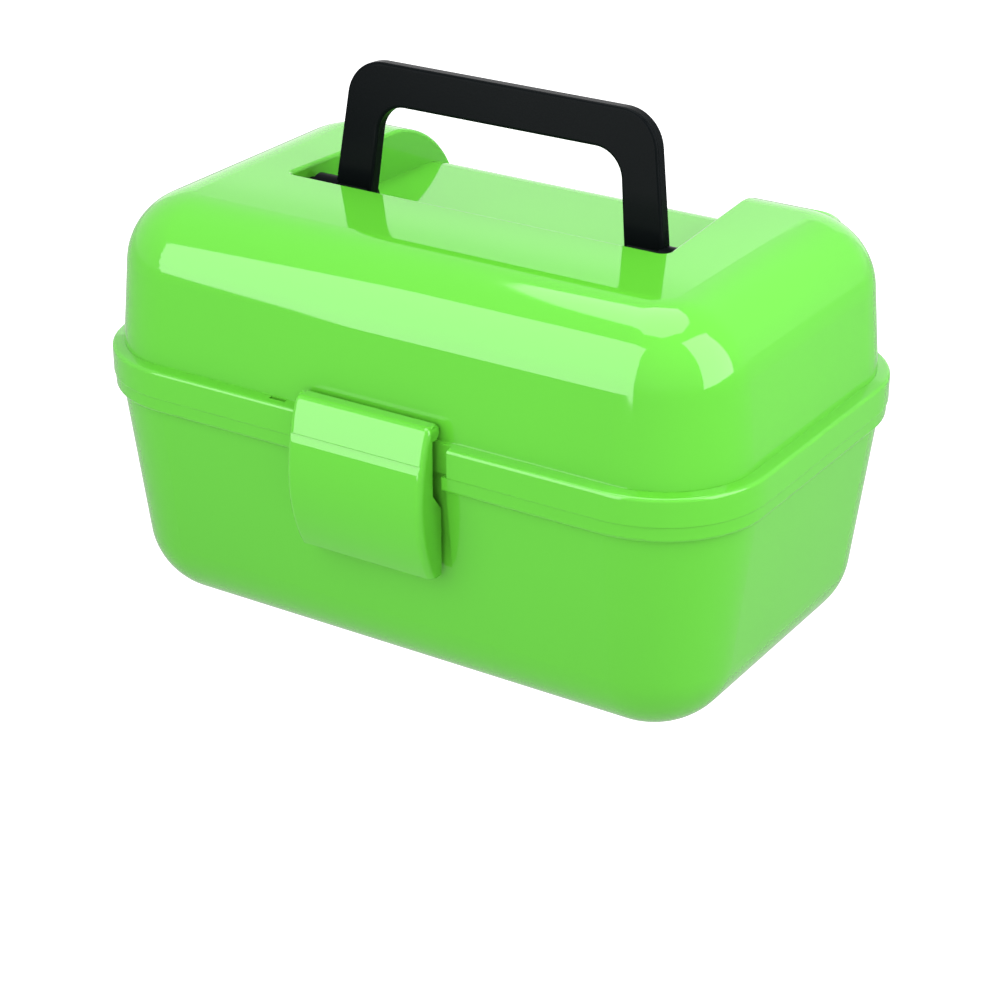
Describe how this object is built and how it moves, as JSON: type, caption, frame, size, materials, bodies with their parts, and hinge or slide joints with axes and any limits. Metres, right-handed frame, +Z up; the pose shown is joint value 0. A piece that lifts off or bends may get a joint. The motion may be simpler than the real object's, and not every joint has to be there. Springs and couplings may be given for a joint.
{
  "type": "tackle box",
  "caption": "Small moulded tackle box with a domed hinged lid, front flip latch, fold-down carry handle in a top recess and a lift-out compartment tray.",
  "frame": {"origin": "centre of the flat bottom of the base, on the surface it stands on", "axes": "+X along the length to the right when the latch faces the viewer, -Y towards the latch (front), +Z up"},
  "size_m": [0.254, 0.1754, 0.1916],
  "materials": {
    "green_shell": "glossy bright green moulded plastic",
    "black_handle": "satin black moulded plastic",
    "grey_tray": "satin light grey moulded plastic",
    "black_arm": "satin black moulded plastic",
    "steel_pin": "plain steel wire and rivets"
  },
  "bodies": {
    "base": {"base_shell": "green_shell", "hinge_pin_left": "steel_pin", "hinge_pin_right": "steel_pin", "arm_base_pin_left": "steel_pin", "arm_base_pin_right": "steel_pin"},
    "lid": {"lid_shell": "green_shell", "latch_pin": "steel_pin"},
    "handle": {"carry_handle": "black_handle"},
    "latch": {"latch": "green_shell"},
    "tray": {"tray": "grey_tray", "tray_divider_front_left": "grey_tray", "tray_divider_front_middle": "grey_tray", "tray_divider_front_right": "grey_tray", "tray_divider_back_left": "grey_tray", "tray_divider_back_middle": "grey_tray", "tray_divider_back_right": "grey_tray", "arm_tray_pin_left": "steel_pin", "arm_tray_pin_right": "steel_pin", "tray_lid_pin_left": "steel_pin", "tray_lid_pin_right": "steel_pin"},
    "tray_arms": {"tray_arm_left": "black_arm", "tray_arm_right": "black_arm"}
  },
  "joints": [
    {"name": "lid_hinge", "type": "hinge", "parent": "base", "child": "lid", "pos_m": [0, 0.0838, 0.08612], "axis": [-1, 0, 0], "range_deg": [0, 100]},
    {"name": "tray_level", "type": "hinge", "parent": "lid", "child": "tray", "pos_m": [0, 0.034, 0.08172], "axis": [-1, 0, 0], "range_deg": [-100, 0]},
    {"name": "arm_swing", "type": "hinge", "parent": "base", "child": "tray_arms", "pos_m": [0, 0.02, 0.0825], "axis": [-1, 0, 0], "range_deg": [0, 100]},
    {"name": "handle_hinge", "type": "hinge", "parent": "lid", "child": "handle", "pos_m": [0, 0, 0.1415], "axis": [-1, 0, 0], "range_deg": [-45, 92]},
    {"name": "latch_hinge", "type": "hinge", "parent": "lid", "child": "latch", "pos_m": [0, -0.0787, 0.1003], "axis": [-1, 0, 0], "range_deg": [0, 110]}
  ],
  "couplings": [
    {"joint": "tray_level", "follows": "lid_hinge", "ratio": -1},
    {"joint": "arm_swing", "follows": "lid_hinge", "ratio": 1}
  ]
}
